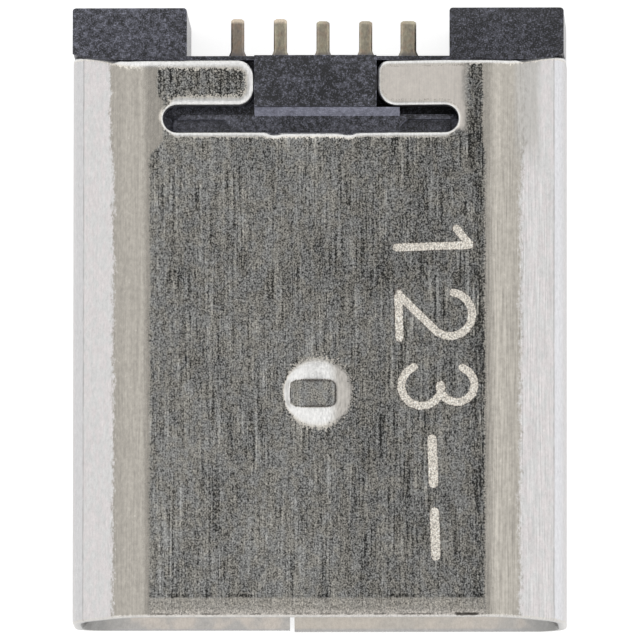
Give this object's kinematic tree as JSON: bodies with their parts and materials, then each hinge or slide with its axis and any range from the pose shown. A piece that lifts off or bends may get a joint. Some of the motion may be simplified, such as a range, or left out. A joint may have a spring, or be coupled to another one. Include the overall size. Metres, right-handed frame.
{
  "type": "micro usb socket",
  "caption": "Folded steel socket shell with a black moulded insert, a tongue that carries flat contacts, and straight tails between two rear feet.",
  "frame": {"origin": "middle of the box of the whole part, on the plane of the shell's wide flat face", "axes": "+X across the mouth, +Y from the mouth to the tails, +Z out of the narrow face"},
  "size_m": [0.0074, 0.0094, 0.0025],
  "materials": {
    "shell_steel": "nickel plated, brushed on the flats and smooth on the bends",
    "housing_plastic": "moulded black, finely mottled",
    "contact_metal": "stamped, dull tinned"
  },
  "bodies": {
    "root": {"shell": "shell_steel", "housing": "housing_plastic", "contact_1": "contact_metal", "contact_2": "contact_metal", "contact_3": "contact_metal", "contact_4": "contact_metal", "contact_5": "contact_metal"}
  },
  "joints": []
}
